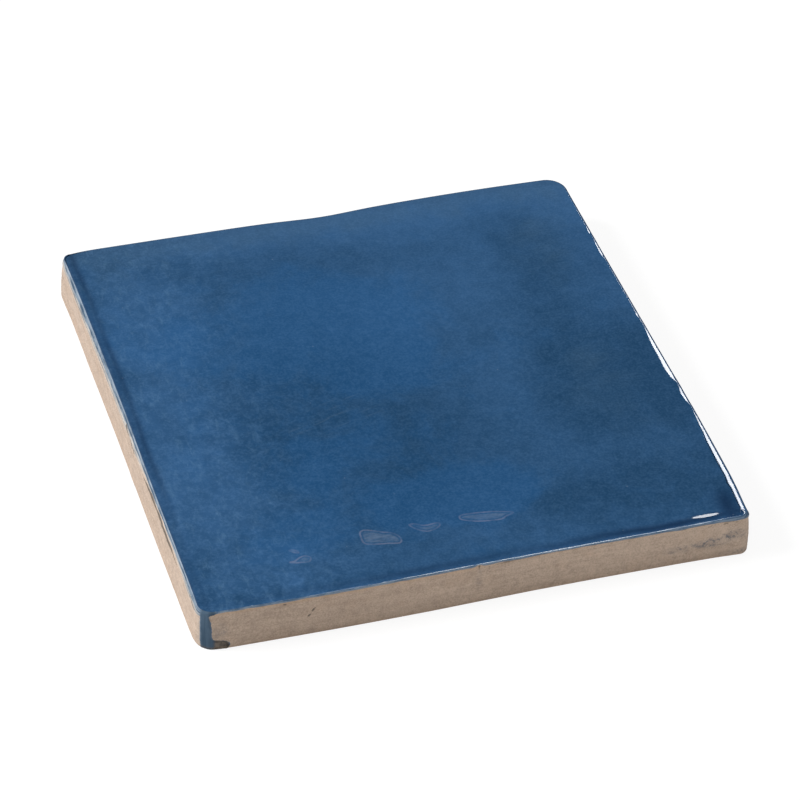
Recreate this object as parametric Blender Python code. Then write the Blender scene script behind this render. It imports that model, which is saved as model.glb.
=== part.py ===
"""A handmade-look ceramic wall tile: one pressed, glazed and fired slab, lying on its flat back.

Units are metres and +Z is up. The glazed face is on top. The front side faces -Y and the right side +X.
The origin is under the middle of the tile, on the plane that its back rests on.
"""

import math

import bmesh
import bpy
from mathutils import Vector

# Size of the clay slab, to the mean line of each wavy side
WIDTH = 0.100
DEPTH = 0.100
THICKNESS = 0.009

SIDES = ("front", "right", "back", "left")

# Radius in plan of the upright corner at the end of each side, going round from the front
CORNER_RADIUS = {"front": 0.0016, "right": 0.0027, "back": 0.0026, "left": 0.0025}

# Radius in section where the glazed face rolls over into each side
RIM_RADIUS = {"front": 0.0003, "right": 0.0010, "back": 0.0008, "left": 0.0008}

# The fired glaze stands this far off the bare biscuit of the sides, and ends this far below the rim
GLAZE_LIP = 0.00018
GLAZE_DROP = {"front": 0.0001, "right": 0.0007, "back": 0.0006, "left": 0.00015}

# How far the foot of each side stands out past the top of its bare clay, and the eased edge round the back
FOOT_SPREAD = {"front": 0.0001, "right": 0.0005, "back": 0.0002, "left": 0.0001}
BACK_ARRIS = 0.00025

# Waves of each side in plan. Each is (place along the side from -1 to 1, how far it stands out, half length).
# Places run to the right on the front and back, and to the back on the left and right.
SIDE_WAVES = {
    "front": ((-0.42, 0.00058, 0.032), (0.30, 0.00010, 0.016), (0.86, 0.00032, 0.018)),
    "right": ((-0.98, -0.00040, 0.007), (-0.56, 0.00044, 0.030), (0.06, 0.00014, 0.022)),
    "back": ((-0.75, 0.00012, 0.020), (0.02, -0.00048, 0.0075), (0.66, 0.00056, 0.022)),
    "left": ((-0.75, -0.00005, 0.012), (0.15, -0.00020, 0.024), (0.85, 0.00004, 0.012)),
}

# Low swells and hollows of the glazed face. Each is (place across, place back, height, half length).
FACE_SWELLS = (
    (-0.55, 0.45, 0.00022, 0.026),
    (0.50, 0.55, 0.00020, 0.024),
    (0.02, 0.98, -0.00022, 0.009),
    (0.15, 0.05, -0.00024, 0.030),
    (0.72, -0.30, 0.00014, 0.020),
    (-0.62, -0.45, -0.00012, 0.020),
    (-0.15, -0.85, 0.00012, 0.016),
)

# Drips and bare notches of the glaze's lower edge, in the same form as the side waves
GLAZE_DRIPS = {
    "front": ((-0.48, 0.00015, 0.010), (-0.02, -0.00005, 0.004), (0.85, 0.0001, 0.008)),
    "right": ((-0.40, 0.0005, 0.009), (0.35, 0.0003, 0.006)),
    "back": ((0.30, 0.0004, 0.010), (-0.50, 0.0006, 0.006)),
    "left": ((0.10, 0.0003, 0.005), (-0.60, -0.0001, 0.016), (0.70, 0.0003, 0.010)),
}

# Mesh steps: along a side's straight run, over half a corner, and over the rounded rim
RUN_STEPS = 26
HALF_CORNER_STEPS = 3
RIM_STEPS = 5

GLAZE_COLOUR = (0.028, 0.105, 0.255, 1.0)
BISCUIT_COLOUR = (0.52, 0.38, 0.28, 1.0)


def bump(distance, half_length):
    """A smooth rise that is 1 at its middle and fades to 0 over about two half lengths."""
    return math.exp(-((distance / half_length) ** 2))


def waves_at(waves, place, side_length):
    """The sum of a side's waves at a place from -1 to 1 along it."""
    return sum(height * bump((place - middle) * side_length / 2, reach) for middle, height, reach in waves)


def face_height(x, y):
    """Height of the glazed face, with its swells, over the plane of the back."""
    height = THICKNESS
    for across, back, rise, reach in FACE_SWELLS:
        away = math.hypot(x - across * WIDTH / 2, y - back * DEPTH / 2)
        height += rise * bump(away, reach)
    return height


class Station:
    """One place on the tile's outline: its point on the mean line, its outward normal and its section."""

    def __init__(self, side, corner_share, point, normal):
        """corner_share runs from -0.5 at the start of the side's first corner to 0.5 at its last, 0 on the run."""
        self.point = point
        self.normal = normal
        towards = 1 if corner_share > 0 else -1
        neighbour = SIDES[(SIDES.index(side) + towards) % len(SIDES)]
        share = abs(corner_share)

        def blended(value_of):
            return (1 - share) * value_of(side) + share * value_of(neighbour)

        self.rim = blended(RIM_RADIUS.get)
        self.stands_out = blended(self.wave)
        self.glaze_drop = blended(self.drop)
        self.foot_spread = blended(FOOT_SPREAD.get)

    def along(self, side):
        """The place of this station along a side, from -1 to 1, and the length of that side."""
        if side in ("front", "back"):
            return self.point.x / (WIDTH / 2), WIDTH
        return self.point.y / (DEPTH / 2), DEPTH

    def wave(self, side):
        return waves_at(SIDE_WAVES[side], *self.along(side))

    def drop(self, side):
        return GLAZE_DROP[side] + waves_at(GLAZE_DRIPS[side], *self.along(side))

    def plan(self, inset):
        """The point of the clay's outline here, moved in by the inset."""
        return self.point + self.normal * (self.stands_out - inset)

    def face_edge(self):
        """Where the face ends and its rim starts to roll over."""
        return self.plan(self.rim - GLAZE_LIP)

    def section(self):
        """The rings below the face as (inset, height): rim, glaze lip, bare side and the back's eased edge."""
        edge = self.face_edge()
        top = face_height(edge.x, edge.y)
        rings = []
        for step in range(1, RIM_STEPS + 1):
            angle = math.pi / 2 * step / RIM_STEPS
            inset = self.rim * (1 - math.sin(angle)) - GLAZE_LIP
            rings.append((inset, top - self.rim * (1 - math.cos(angle))))
        lip_bottom = top - self.rim - self.glaze_drop
        rings.append((-GLAZE_LIP, lip_bottom))
        rings.append((0.0, lip_bottom - GLAZE_LIP))
        rings.append((-self.foot_spread, BACK_ARRIS))
        rings.append((BACK_ARRIS - self.foot_spread, 0.0))
        return rings


def side_stations(side):
    """The stations of one side, anticlockwise, from the middle of its first corner to the middle of its last."""
    index = SIDES.index(side)
    turn = index * math.pi / 2
    along = Vector((math.cos(turn), math.sin(turn)))
    outward = Vector((math.sin(turn), -math.cos(turn)))
    half_run, half_other = (WIDTH / 2, DEPTH / 2) if index % 2 == 0 else (DEPTH / 2, WIDTH / 2)
    first_radius = CORNER_RADIUS[SIDES[index - 1]]
    last_radius = CORNER_RADIUS[side]
    run_start = -half_run + first_radius
    run_end = half_run - last_radius

    def on_corner(centre, radius, angle, share):
        normal = along * math.sin(angle) + outward * math.cos(angle)
        middle = along * centre + outward * (half_other - radius)
        return Station(side, share, middle + normal * radius, normal)

    stations = []
    for step in range(HALF_CORNER_STEPS):
        share = 0.5 * (1 - step / HALF_CORNER_STEPS)
        stations.append(on_corner(run_start, first_radius, -share * math.pi / 2, -share))
    for step in range(RUN_STEPS + 1):
        place = run_start + (run_end - run_start) * step / RUN_STEPS
        stations.append(Station(side, 0.0, along * place + outward * half_other, outward))
    for step in range(1, HALF_CORNER_STEPS + 1):
        share = 0.5 * step / HALF_CORNER_STEPS
        stations.append(on_corner(run_end, last_radius, share * math.pi / 2, share))
    return stations


def shares_along(stations, axis):
    """How far each station's face edge lies from the first one to the last, from 0 to 1."""
    places = [station.face_edge()[axis] for station in stations]
    return [(place - places[0]) / (places[-1] - places[0]) for place in places]


def shape_face(bm, steps, sides):
    """Fits a square grid between the four sides. Returns the station of each vertex on its border."""
    front, right = sides["front"], sides["right"]
    back, left = sides["back"][::-1], sides["left"][::-1]
    across_shares = shares_along(front, 0)
    back_shares = shares_along(left, 1)
    border = {}
    for vert in bm.verts:
        column = round((vert.co.x + 1) / 2 * steps)
        row = round((vert.co.y + 1) / 2 * steps)
        u, v = across_shares[column], back_shares[row]
        between_sides = left[row].face_edge().lerp(right[row].face_edge(), u)
        between_ends = front[column].face_edge().lerp(back[column].face_edge(), v)
        front_line = front[0].face_edge().lerp(front[steps].face_edge(), u)
        back_line = back[0].face_edge().lerp(back[steps].face_edge(), u)
        place = between_sides + between_ends - front_line.lerp(back_line, v)
        vert.co = (place.x, place.y, face_height(place.x, place.y))
        for on_border, station in (
            (row == 0, front[column]),
            (row == steps, back[column]),
            (column == 0, left[row]),
            (column == steps, right[row]),
        ):
            if on_border:
                border[vert] = station
    return border


def extrude_ring(bm, edges, stations, ring):
    """Extrudes the open border to the next ring of its section. Returns the new border's edges and stations."""
    made = bmesh.ops.extrude_edge_only(bm, edges=edges)["geom"]
    verts = [item for item in made if isinstance(item, bmesh.types.BMVert)]
    new_edges = [item for item in made if isinstance(item, bmesh.types.BMEdge)]
    new_stations = {}
    for vert in verts:
        source = next(edge.other_vert(vert) for edge in vert.link_edges if edge.other_vert(vert) in stations)
        station = stations[source]
        inset, height = station.section()[ring]
        place = station.plan(inset)
        vert.co = (place.x, place.y, height)
        new_stations[vert] = station
    return [edge for edge in new_edges if edge.is_boundary], new_stations


def tile_mesh():
    """The whole tile: its face, the rings of its section below it, and its flat back."""
    sides = {side: side_stations(side) for side in SIDES}
    steps = RUN_STEPS + 2 * HALF_CORNER_STEPS
    bm = bmesh.new()
    bmesh.ops.create_grid(bm, x_segments=steps, y_segments=steps, size=1.0)
    stations = shape_face(bm, steps, sides)
    border = [edge for edge in bm.edges if edge.is_boundary]
    glazed_rings = RIM_STEPS + 1
    ring_count = len(sides["front"][0].section())
    for ring in range(ring_count):
        before = set(bm.faces)
        border, stations = extrude_ring(bm, border, stations, ring)
        for face in set(bm.faces) - before:
            face.material_index = 0 if ring < glazed_rings else 1
    back = bmesh.ops.contextual_create(bm, geom=border)["faces"]
    for face in back:
        face.material_index = 1
    bmesh.ops.recalc_face_normals(bm, faces=bm.faces)

    # The waves shift the tile's box a little, so the box is brought back over the origin
    across = [vert.co.x for vert in bm.verts]
    along = [vert.co.y for vert in bm.verts]
    middle = Vector((min(across) + max(across), min(along) + max(along), 0.0)) / 2
    bmesh.ops.translate(bm, verts=bm.verts, vec=-middle)

    mesh = bpy.data.meshes.new("wall_tile")
    bm.to_mesh(mesh)
    bm.free()
    return mesh


def ceramic(name, colour, roughness):
    """A fired finish with one colour and one roughness."""
    material = bpy.data.materials.new(name)
    material.use_nodes = True
    shader = material.node_tree.nodes["Principled BSDF"]
    shader.inputs["Base Color"].default_value = colour
    shader.inputs["Roughness"].default_value = roughness
    shader.inputs["Metallic"].default_value = 0.0
    return material


for old in list(bpy.data.objects):
    bpy.data.objects.remove(old)

tile = bpy.data.objects.new("wall_tile", tile_mesh())
tile.data.materials.append(ceramic("blue_glaze", GLAZE_COLOUR, 0.1))
tile.data.materials.append(ceramic("bare_biscuit", BISCUIT_COLOUR, 0.9))
bpy.context.scene.collection.objects.link(tile)
tile.data.shade_smooth()
tile.data.set_sharp_from_angle(angle=math.radians(35))
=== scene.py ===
import math

import bpy
import numpy as np
from mathutils import Matrix, Quaternion, Vector


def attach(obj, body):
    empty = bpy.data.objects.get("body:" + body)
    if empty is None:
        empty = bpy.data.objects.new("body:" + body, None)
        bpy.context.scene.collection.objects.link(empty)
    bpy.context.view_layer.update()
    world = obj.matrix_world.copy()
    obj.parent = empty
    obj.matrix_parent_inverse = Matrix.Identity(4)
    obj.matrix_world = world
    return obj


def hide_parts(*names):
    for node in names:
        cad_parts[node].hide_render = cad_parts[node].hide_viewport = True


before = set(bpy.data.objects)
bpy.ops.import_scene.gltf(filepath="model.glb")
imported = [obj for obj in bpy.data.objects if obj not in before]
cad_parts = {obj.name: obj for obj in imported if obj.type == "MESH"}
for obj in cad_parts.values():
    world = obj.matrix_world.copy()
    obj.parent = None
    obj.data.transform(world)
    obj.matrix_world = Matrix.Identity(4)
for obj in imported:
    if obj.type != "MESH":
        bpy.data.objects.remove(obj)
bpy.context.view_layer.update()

scene = bpy.context.scene
scene.view_settings.view_transform = "Standard"

# The clay slab, rolled and cut by hand, so its four sides wander in plan and its face swells and sinks
# a little. It starts as a flat sheet of cells at the size of the face. The sheet's border is drawn down
# ring by ring over the rim, the bare sides and the eased foot, and one flat face closes the back.
MM = 0.001
WIDTH = 0.100
HALF = WIDTH / 2
THICKNESS = 0.009
BACK_ARRIS = 0.00025
FACE_CELLS = 160
CELL_GRADE = 0.5
SLOPE_RINGS = 3
ROLL_RINGS = 9
SIDE_RINGS = 40
ARRIS_RINGS = 3
RIM_RINGS = SLOPE_RINGS + ROLL_RINGS
RINGS = RIM_RINGS + SIDE_RINGS + ARRIS_RINGS
RING_STEP = 0.0002
SIDES = ("front", "right", "back", "left")

# Plan radius of the corner at the end of each side
CORNER_RADIUS = {"front": 0.0016, "right": 0.0036, "back": 0.0021, "left": 0.0025}

# Waves of each side, as (place along the side from -1 to 1, how far it stands out, half length)
SIDE_WAVES = {
    "front": ((-0.42, 0.00058, 0.032), (0.30, 0.00010, 0.016), (0.86, 0.00032, 0.018)),
    "right": ((-0.98, -0.00046, 0.006), (-0.56, 0.00044, 0.030), (0.06, 0.00010, 0.022)),
    "back": ((-0.75, 0.00002, 0.020), (0.02, -0.00034, 0.0075), (0.66, 0.00054, 0.022)),
    "left": (
        (-0.75, -0.00005, 0.012), (0.15, -0.00020, 0.024), (0.76, -0.00010, 0.010), (0.99, 0.00022, 0.004),
    ),
}

# Swells of the face, as (place across, place back, height, half length)
FACE_SWELLS = (
    (-0.55, 0.45, 0.00022, 0.026),
    (0.50, 0.55, 0.00020, 0.024),
    (0.02, 0.98, -0.00022, 0.009),
    (0.15, 0.05, -0.00024, 0.030),
    (0.72, -0.30, 0.00014, 0.020),
    (-0.62, -0.45, -0.00012, 0.020),
    (-0.15, -0.85, 0.00012, 0.016),
)

# The rim's section, from the face outwards: a gentle slope where the glaze drew back, then a tight
# roll. How far in each starts is given in millimetres at millimetres along the side, from the left or
# the front.
SLOPE_TILT = math.radians(7.0)
SLOPE_IN = {
    "front": ((50, 0.04),),
    "right": (
        (0.0, 1.30), (1.0, 1.30), (2.0, 0.90), (5.0, 0.92), (7.4, 0.95), (8.5, 1.20), (10.6, 0.95),
        (13.3, 1.00), (15.5, 1.00), (20.2, 0.85), (22.5, 0.50), (24.4, 0.50), (25.8, 0.30), (28.6, 0.03),
        (30.2, 0.03), (31.4, 0.50), (33.4, 0.62), (35.6, 0.03), (36.6, 0.03), (38.2, 0.62), (41.0, 0.88),
        (44.6, 0.68), (47.5, 0.66), (50.5, 0.37), (53.0, 0.03), (55.6, 0.03), (56.6, 0.30), (57.6, 0.03),
        (73.8, 0.03), (75.0, 0.30), (78.5, 0.28), (79.9, 0.03), (81.0, 0.03), (82.0, 0.38), (83.8, 0.03),
    ),
    "back": ((50, 0.10),),
    "left": ((50, 0.08),),
}
ROLL_IN = {
    "front": ((80, 0.30), (90, 0.45), (99, 0.60)),
    "right": ((50, 0.55),),
    "back": ((50, 0.70),),
    "left": ((0, 0.38), (8, 0.46), (20, 0.54), (36, 0.54), (50, 0.65), (78, 0.68), (96, 0.55)),
}

# How far down the rim rolls, and how far the foot stands out beyond the clay's top
ROLL_DOWN = {
    "front": ((80, 0.30), (90, 0.50), (99, 0.70)),
    "right": ((50, 0.70),),
    "back": ((50, 0.80),),
    "left": ((50, 0.85),),
}
FOOT_OUT = {
    "front": ((0, 0.10), (42, 0.06), (60, -0.16), (88, -0.14), (94, -0.04), (99, 0.25)),
    "right": ((0, 0.90), (3, 0.62), (12, 0.46)),
    "back": ((50, 0.20),),
    "left": ((50, 0.10),),
}


def swell(distance, half_length):
    """A smooth rise that is 1 at its middle and fades to 0 over about two half lengths."""
    return np.exp(-((distance / half_length) ** 2))


def plateau(distance, half_length):
    """A fuller rise than a swell, flat on top and steeper at its ends."""
    return np.exp(-((distance / half_length) ** 4))


def ramp(value, low, high):
    """0 at low and below, 1 at high and above, and smooth between them."""
    share = np.clip((value - low) / (high - low), 0, 1)
    return share * share * (3 - 2 * share)


def waves_at(waves, place):
    """The sum of a side's waves at places from -1 to 1 along it."""
    return sum(rise * swell((place - middle) * HALF, reach) for middle, rise, reach in waves)


def along(points, place):
    """A size read between a side's points, at places from -1 to 1 along it."""
    where, size = zip(*points)
    return np.interp((place + 1) * HALF / MM, where, size)


def face_height(x, y):
    """Height of the swelling face over the plane of the back."""
    height = np.full(np.shape(x), THICKNESS)
    for across, back, rise, reach in FACE_SWELLS:
        height = height + rise * swell(np.hypot(x - across * HALF, y - back * HALF), reach)
    return height


class Edge:
    """The tile's outline along one side at shares of its length, with what each place's section needs."""

    def __init__(self, side, share):
        index = SIDES.index(side)
        self.side = side
        turn = index * math.pi / 2
        onward = np.array([math.cos(turn), math.sin(turn)])
        outward = np.array([math.sin(turn), -math.cos(turn)])
        first, last = CORNER_RADIUS[SIDES[index - 1]], CORNER_RADIUS[side]
        eighth = math.pi / 4
        run = WIDTH - first - last
        reach = np.asarray(share) * (first * eighth + run + last * eighth)
        past_run = reach - first * eighth - run
        turned = np.clip(past_run / last, 0, eighth) - np.clip(eighth - reach / first, 0, eighth)
        radius = np.where(past_run > 0, last, first)
        place = first - HALF + np.clip(reach - first * eighth, 0, run)
        self.normal = np.outer(np.sin(turned), onward) + np.outer(np.cos(turned), outward)
        centre = np.outer(place, onward) + np.outer(HALF - radius, outward)
        self.point = centre + self.normal * radius[:, None]
        self.to_next = np.clip(turned, 0, None) / (math.pi / 2)
        self.to_last = np.clip(-turned, 0, None) / (math.pi / 2)
        self.stands_out = self.shared(lambda name: waves_at(SIDE_WAVES[name], self.places(name)))
        self.slope_in = self.shared(lambda name: along(SLOPE_IN[name], self.places(name)) * MM)
        self.roll_in = self.shared(lambda name: along(ROLL_IN[name], self.places(name)) * MM)
        self.roll_down = self.shared(lambda name: along(ROLL_DOWN[name], self.places(name)) * MM)
        self.foot_out = self.shared(lambda name: along(FOOT_OUT[name], self.places(name)) * MM)
        self.lip = self.shared(GLAZE_LIP.get)

    def places(self, side):
        """Where these points lie along a side, from -1 to 1."""
        return self.point[:, 0 if side in ("front", "back") else 1] / HALF

    def shared(self, value_of):
        """A value of this side, blended round the corners into its neighbours' values."""
        index = SIDES.index(self.side)
        own = (1 - self.to_next - self.to_last) * value_of(self.side)
        following = self.to_next * value_of(SIDES[(index + 1) % 4])
        return own + following + self.to_last * value_of(SIDES[index - 1])

    def moved_in(self, inset):
        return self.point + self.normal * (self.stands_out - inset)[:, None]

    def face_end(self):
        """Where the face ends and the rim begins to fall."""
        return self.moved_in(self.slope_in + self.roll_in - self.lip)


# The glaze is a coat of glass, brushed on as a wet powder and melted in the kiln. It pools in a trough
# inside the rim, breaks thin over the rim, and ends in a ragged lip: just over the edge on the front,
# on top of the rolled rim along the front half of the left side, and one or two millimetres down
# elsewhere.

# How thick the lip stands off the clay, and how many millimetres past the slope the glaze reaches
GLAZE_LIP = {"front": 0.00016, "right": 0.00008, "back": 0.00010, "left": 0.00006}
GLAZE_REACH = {
    "front": (
        (0, 0.60), (9, 0.50), (48.6, 0.50), (49.1, 0.27), (49.9, 0.27), (50.3, 0.52), (51.7, 0.50),
        (56, 0.38), (72, 0.42), (84, 0.50), (90, 0.62), (95, 0.72), (99, 0.80),
    ),
    "right": ((0, 1.0), (7, 1.5), (30, 1.4), (50, 1.7), (68, 1.5), (86, 2.1), (92, 1.5)),
    "back": ((11, 1.4), (25, 1.8), (65, 1.6), (85, 2.2), (92, 1.5)),
    "left": (
        (0, 2.8), (0.8, 2.0), (2, 1.5), (6, 1.6), (10, 1.1), (14, 0.75), (18, 0.60), (36, 0.60), (40, 1.00),
        (44, 1.45), (48, 1.05), (52, 1.50), (60, 1.60), (70, 1.50), (80, 1.70), (90, 1.60), (97, 1.30),
    ),
}
RAGGED = ((1500.0, 0.00006), (700.0, 0.00010), (330.0, 0.00008))

# The run down the front left corner, in millimetres: how far it reaches along the front at each height,
# and along the left side
RUN_ALONG_FRONT = (
    (0.0, 4.8), (0.5, 5.4), (1.0, 5.6), (1.6, 5.3), (2.0, 4.7), (2.25, 3.6), (2.45, 2.6), (3.2, 2.35),
    (5.4, 2.3), (6.9, 2.1), (7.9, 1.85), (8.2, 2.0), (8.4, 2.5), (8.6, 3.1),
)
RUN_ALONG_LEFT = 0.9
FAR_FROM_RUN = 3.0


WAVER_WAYS = ((1.0, 0.31, 0.52), (-0.47, 1.0, 0.83), (0.63, -0.78, 1.0), (0.9, 0.85, -0.6))


def waver(x, y, z, scale):
    """A wandering number from about -1 to 1 at each place, with waves about 6 divided by the scale long."""
    total = np.zeros(np.shape(x))
    for turn, (a, b, c) in enumerate(WAVER_WAYS):
        phase = 1.7 * turn + 0.6
        wander = 1.9 * np.sin(scale * 0.37 * (b * x - a * y + c * z) + 2.3 * turn)
        total = total + np.sin(scale * (a * x + b * y + c * z) + wander + phase)
    return total / 3


def glaze_reach(edge):
    """How far past the slope the glaze reaches, with its ragged end."""
    reach = edge.shared(lambda name: along(GLAZE_REACH[name], edge.places(name)) * MM)
    for scale, rise in RAGGED:
        reach = reach + rise * waver(edge.point[:, 0], edge.point[:, 1], 0.0, scale)
    return reach


def inside_corner_run(edge, height):
    """How far inside the run down the front left corner each place is, and less than 0 outside it."""
    heights, reaches = zip(*RUN_ALONG_FRONT)
    front_end = np.interp(height / MM, heights, reaches) * MM
    past_front = front_end - (edge.point[:, 0] + HALF)
    past_left = RUN_ALONG_LEFT * MM - (edge.point[:, 1] + HALF)
    return np.clip(np.minimum(past_front, past_left), -FAR_FROM_RUN * MM, FAR_FROM_RUN * MM)


# Marks where bubbles sank in the melting glaze, each a raised edge along a closed line that the finish
# traces with a faint painted reflection. Their corners are in millimetres across and back from the
# tile's front left, and the finer cells around them in shares of it.
SUNK_MARKS = (
    (
        (32.1, 12.4), (32.8, 12.8), (33.9, 12.5), (35.9, 11.5), (37.5, 10.8), (38.4, 9.4), (38.1, 8.2),
        (36.2, 8.5), (33.0, 9.1), (32.0, 9.7), (31.9, 11.0),
    ),
    (
        (40.9, 12.1), (41.7, 12.2), (43.5, 11.3), (45.7, 11.4), (46.1, 10.9), (45.6, 10.3), (44.6, 9.9),
        (43.3, 9.8), (41.8, 10.8),
    ),
    (
        (50.0, 11.8), (50.8, 12.3), (54.8, 12.0), (57.7, 11.4), (59.5, 10.7), (57.8, 10.1), (56.8, 9.6),
        (53.1, 10.0), (50.4, 11.0),
    ),
    ((18.3, 8.3), (19.3, 8.4), (20.3, 9.0), (21.2, 9.2), (22.1, 8.6), (21.6, 7.7), (20.4, 7.8), (19.4, 7.9)),
    ((19.0, 11.2), (20.0, 11.0), (20.5, 10.2), (19.7, 10.5)),
)
SUNK_RISE = 0.000006
SUNK_HALF_WIDTH = 0.2
MARKS_FROM = (0.155, 0.060)
MARKS_TO = (0.625, 0.145)

# Nicks, pinholes and the crevice under the lip, on the bare sides. Each is a line of points with the
# millimetres along the side, the height and the half width, which is less than 0 where the nick fades
# out.
NICKS = {
    "left": (
        (
            (38.2, 7.30, 0.02), (36.9, 7.28, 0.16), (35.5, 7.30, 0.22), (33.2, 7.70, 0.42),
            (31.2, 7.85, 0.55), (28.5, 7.75, 0.42), (26.0, 7.70, 0.50), (23.0, 7.35, 0.56),
            (20.5, 7.30, 0.52), (18.5, 7.25, 0.40), (16.7, 7.05, 0.22), (13.0, 6.85, -0.04),
        ),
        ((50.0, 8.50, 0.22), (49.0, 8.00, 0.34), (48.0, 7.90, 0.20)),
        ((46.8, 7.70, 0.20), (46.2, 7.30, 0.30), (45.6, 7.00, 0.20)),
        ((45.1, 7.30, 0.12), (44.3, 7.10, 0.22), (43.7, 6.90, 0.10)),
        ((6.0, 7.90, 0.12), (5.1, 7.55, 0.28), (4.0, 7.35, 0.32), (3.1, 7.20, 0.22)),
    ),
    "front": (
        ((14.8, 8.00, 0.10), (15.1, 7.90, 0.12)),
        ((16.4, 7.30, 0.02), (16.6, 7.20, 0.02)),
        (
            (20.3, 6.05, 0.10), (19.9, 5.50, 0.17), (19.6, 5.10, -0.06), (19.6, 4.70, 0.08),
            (19.2, 4.35, 0.17),
        ),
        ((21.2, 6.90, 0.04), (21.3, 6.80, 0.06)),
        ((7.4, 8.50, 0.05), (7.9, 8.50, 0.05)),
        ((10.8, 8.55, 0.08), (11.3, 8.45, 0.08)),
        ((49.6, 8.65, 0.16), (49.6, 8.10, 0.06), (49.5, 7.60, -0.02), (49.5, 7.20, -0.10)),
        ((51.4, 8.20, 0.06), (51.4, 7.70, 0.05), (51.4, 7.20, -0.06)),
        ((52.5, 8.30, 0.02), (55.0, 8.45, 0.08), (57.4, 8.50, 0.00)),
        ((91.8, 7.90, 0.06), (92.4, 7.95, 0.08)),
        ((94.8, 8.00, 0.08), (95.4, 8.05, 0.10)),
        ((97.0, 8.00, 0.06), (97.4, 8.00, 0.06)),
    ),
}
NICK_DEPTH = 0.00014
NICK_INSIDE = -0.12
NICK_OUTSIDE = 0.15
FAR_FROM_MARK = 2.0

# Thin grey washes of glaze smeared on the clay, in millimetres: (along, height, half length, half
# height, strength)
WASHES = {
    "front": (
        (3.7, 4.1, 1.3, 2.1, 0.42),
        (49.7, 5.6, 0.7, 2.4, 0.28),
        (86.5, 3.6, 2.5, 0.9, 0.62),
        (92.5, 4.0, 3.4, 1.0, 0.95),
        (96.8, 5.0, 2.2, 1.2, 1.00),
        (97.5, 1.0, 3.0, 0.6, 0.60),
    ),
}


def closed_curve(corners, steps=8):
    """A smooth closed line through a mark's corners, in the tile's own metres."""
    points = np.array(corners) * MM - HALF
    line = []
    for index in range(len(points)):
        before, start, end, after = (points[(index + k) % len(points)] for k in (-1, 0, 1, 2))
        for step in range(steps):
            t = step / steps
            line.append(
                0.5 * (2 * start + (end - before) * t + (2 * before - 5 * start + 4 * end - after) * t ** 2
                       + (3 * start - before - 3 * end + after) * t ** 3)
            )
    return np.array(line)


def distance_to_line(x, y, start, end):
    """Distance to a straight line between two places, and the share of it that the nearest point lies at."""
    line_x, line_y = end[0] - start[0], end[1] - start[1]
    share = np.clip(((x - start[0]) * line_x + (y - start[1]) * line_y) / (line_x ** 2 + line_y ** 2), 0, 1)
    return np.hypot(x - start[0] - share * line_x, y - start[1] - share * line_y), share


def outside_mark(x, y, line):
    """Distance in metres to a closed line, less than 0 inside it."""
    nearest = np.full(np.shape(x), WIDTH)
    inside = np.zeros(np.shape(x), bool)
    for start, end in zip(line, np.roll(line, -1, axis=0)):
        nearest = np.minimum(nearest, distance_to_line(x, y, start, end)[0])
        if start[1] != end[1]:
            crosses = ((start[1] > y) != (end[1] > y))
            inside ^= crosses & (x < (end[0] - start[0]) * (y - start[1]) / (end[1] - start[1]) + start[0])
    return np.where(inside, -nearest, nearest)


def outside_nicks(side, place, height):
    """Millimetres to the nearest nick's edge on a side, less than 0 inside it."""
    nearest = np.full(np.shape(place), FAR_FROM_MARK)
    where, up = (place + 1) * HALF / MM, height / MM
    for nick in NICKS.get(side, ()):
        for start, end in zip(nick, nick[1:]):
            distance, share = distance_to_line(where, up, start, end)
            nearest = np.minimum(nearest, distance - start[2] - (end[2] - start[2]) * share)
    return nearest


def washed(side, place, height):
    """How much glaze is smeared on the clay of a side."""
    share = np.zeros(np.shape(place))
    where, up = (place + 1) * HALF / MM, height / MM
    for middle, middle_up, half_length, half_height, strength in WASHES.get(side, ()):
        away = np.hypot((where - middle) / half_length, (up - middle_up) / half_height)
        share = np.maximum(share, strength * plateau(away, 1.0))
    return share


# The blank: the sheet of cells, with its border drawn down. The cells are finer under the sunk marks,
# the shoulder and the chips, and along the three sides that the photograph shows best, all in shares of
# the tile.
SHOULDER_FROM = (0.86, 0.008)
SHOULDER_TO = (0.975, 0.034)
CHIPS_LEFT = (0.42, 0.52)
CHIPS_FRONT = (0.487, 0.523)
for picked in bpy.context.selected_objects:
    picked.select_set(False)
bpy.ops.mesh.primitive_grid_add(
    x_subdivisions=FACE_CELLS, y_subdivisions=FACE_CELLS, size=1.0, location=(0.5, 0.5, 0.0)
)
slab = bpy.context.object
slab.name = "glazed_slab"
bpy.ops.object.transform_apply(location=True, rotation=True, scale=True)


def graded(share):
    """Shares of a side with the cells drawn closer together towards its ends."""
    return share - CELL_GRADE * np.sin(2 * np.pi * share) / (2 * np.pi)


def subdivide_faces(chosen, cuts):
    """Cuts finer the faces whose middles are chosen by their shares across and back."""
    for face in slab.data.polygons:
        face.select = bool(chosen(face.center.x, face.center.y))
    bpy.ops.object.mode_set(mode="EDIT")
    bpy.ops.mesh.select_mode(type="FACE")
    bpy.ops.mesh.subdivide(number_cuts=cuts)
    bpy.ops.mesh.select_all(action="DESELECT")
    bpy.ops.object.mode_set(mode="OBJECT")


def near_marks(x, y):
    return MARKS_FROM[0] < graded(x) < MARKS_TO[0] and MARKS_FROM[1] < graded(y) < MARKS_TO[1]


def by_worn_sides(x, y):
    return min(x, y, 1 - x) < 1 / FACE_CELLS


def near_chips(x, y):
    by_left = x < 0.5 / FACE_CELLS and CHIPS_LEFT[0] < graded(y) < CHIPS_LEFT[1]
    return by_left or (y < 0.5 / FACE_CELLS and CHIPS_FRONT[0] < graded(x) < CHIPS_FRONT[1])


def near_shoulder(x, y):
    return SHOULDER_FROM[0] < graded(x) < SHOULDER_TO[0] and SHOULDER_FROM[1] < graded(y) < SHOULDER_TO[1]


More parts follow.
